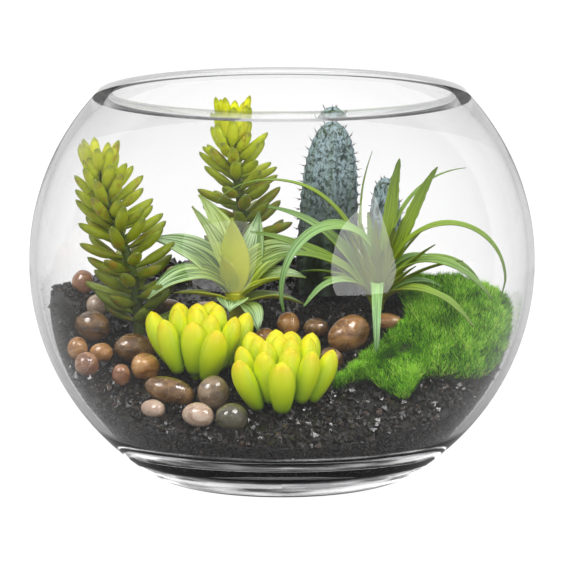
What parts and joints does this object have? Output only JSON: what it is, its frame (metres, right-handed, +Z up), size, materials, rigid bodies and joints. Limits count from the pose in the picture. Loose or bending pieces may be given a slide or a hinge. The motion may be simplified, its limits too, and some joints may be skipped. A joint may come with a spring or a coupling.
{
  "type": "glass plant terrarium",
  "caption": "Round glass bubble bowl on a flat base, open at the top, planted with succulents, cacti, a striped star plant and an air plant in black grit with river pebbles and moss.",
  "frame": {"origin": "centre of the bowl's flat base, on the surface it stands on", "axes": "+Z up through the mouth, -Y towards the side with the two plump rosettes, +X towards the moss"},
  "size_m": [0.2, 0.2, 0.1545],
  "materials": {
    "glass": "clear, polished",
    "grit": "black crushed grit, damp",
    "moss": "short green moss fuzz",
    "pebble_brown": "wet brown",
    "pebble_pale": "smooth pale",
    "pebble_grey": "smooth grey-brown",
    "pebble_orange": "smooth orange-tan",
    "stonecrop_leaf": "waxy olive yellow-green leaf",
    "rosette_leaf": "waxy chartreuse leaf",
    "cactus_skin": "matt blue-green skin with dark spines",
    "star_leaf": "pale green leaf with dark stripes",
    "air_leaf": "soft light green leaf"
  },
  "bodies": {
    "root": {"glass_bowl": "glass", "grit_bed": "grit", "moss_mat": "moss", "pebble_front_bean": "pebble_grey", "pebble_front_round": "pebble_grey", "pebble_front_pale": "pebble_pale", "pebble_front_olive": "pebble_grey", "pebble_front_pink": "pebble_pale", "pebble_left_orange": "pebble_orange", "pebble_left_small": "pebble_brown", "pebble_left_tan": "pebble_orange", "pebble_left_wet": "pebble_brown", "pebble_left_big": "pebble_brown", "pebble_left_wall": "pebble_orange", "pebble_left_low": "pebble_brown", "pebble_heap_red": "pebble_brown", "pebble_heap_grey": "pebble_pale", "pebble_back_pink": "pebble_pale", "pebble_back_orange": "pebble_orange", "pebble_back_pale": "pebble_pale", "pebble_mid_maroon": "pebble_brown", "pebble_mid_grey": "pebble_pale", "pebble_mid_brown": "pebble_orange", "pebble_mid_orange": "pebble_orange", "pebble_mid_dark": "pebble_brown", "pebble_right_big": "pebble_orange", "pebble_right_glossy": "pebble_brown", "pebble_right_tan": "pebble_orange", "stonecrop_left": "stonecrop_leaf", "stonecrop_middle": "stonecrop_leaf", "rosette_left": "rosette_leaf", "rosette_right": "rosette_leaf", "cactus_tall": "cactus_skin", "cactus_small": "cactus_skin", "star_plant": "star_leaf", "air_plant": "air_leaf"}
  },
  "joints": []
}
